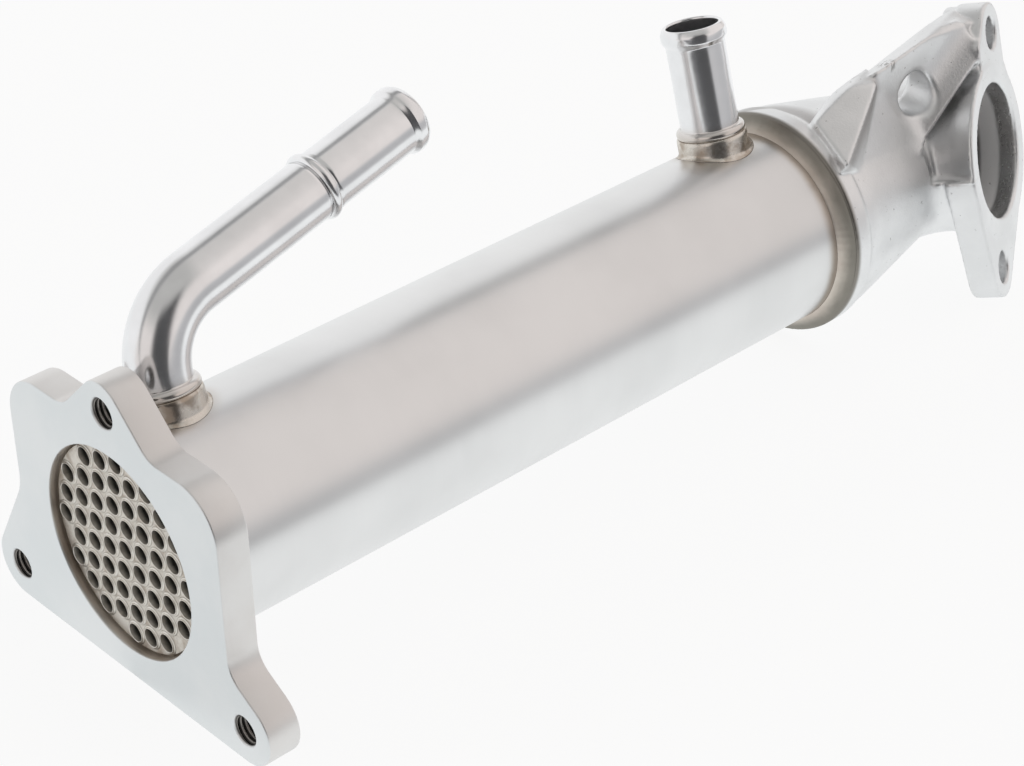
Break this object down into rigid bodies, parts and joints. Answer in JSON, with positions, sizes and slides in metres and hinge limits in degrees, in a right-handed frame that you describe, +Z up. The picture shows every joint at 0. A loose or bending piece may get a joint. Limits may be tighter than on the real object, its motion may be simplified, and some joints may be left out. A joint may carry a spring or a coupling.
{
  "type": "egr cooler",
  "caption": "Shell-and-tube exhaust gas cooler: round shell with a tube bundle, lobed inlet flange, two coolant connections and a cast outlet elbow with a bolted flange.",
  "frame": {"origin": "centre of the inlet flange's gasket face, on the shell's axis", "axes": "+X along the shell from inlet to outlet, +Z up and square to the inlet flange's flat lower edge, +Y to the left when looking along +X"},
  "size_m": [0.3126, 0.106, 0.1108],
  "materials": {
    "flange_steel": "fine satin stainless, machined face",
    "shell_steel": "satin drawn stainless tube with soft streaks",
    "header_steel": "stamped stainless plate with brown braze tint",
    "tube_steel": "thin drawn stainless tube, dull from the brazing oven",
    "pipe_steel": "bright drawn stainless tube",
    "brazed_steel": "turned stainless ring with brown heat tint",
    "cast_steel": "blasted stainless casting, satin, with fine pits",
    "weld_bead": "rippled weld bead with brown and olive heat tint"
  },
  "bodies": {
    "root": {"inlet_flange": "flange_steel", "inlet_header": "header_steel", "shell": "shell_steel", "outlet_header": "header_steel", "baffle_1": "header_steel", "baffle_2": "header_steel", "bent_pipe_boss": "brazed_steel", "straight_stub_boss": "brazed_steel", "bent_coolant_pipe": "pipe_steel", "straight_coolant_stub": "pipe_steel", "outlet_elbow": "cast_steel", "outlet_weld": "weld_bead", "gas_tube_row_1": "tube_steel", "gas_tube_row_2": "tube_steel", "gas_tube_row_3": "tube_steel", "gas_tube_row_4": "tube_steel", "gas_tube_row_5": "tube_steel", "gas_tube_row_6": "tube_steel", "gas_tube_row_7": "tube_steel", "gas_tube_row_8": "tube_steel", "gas_tube_row_9": "tube_steel"}
  },
  "joints": []
}
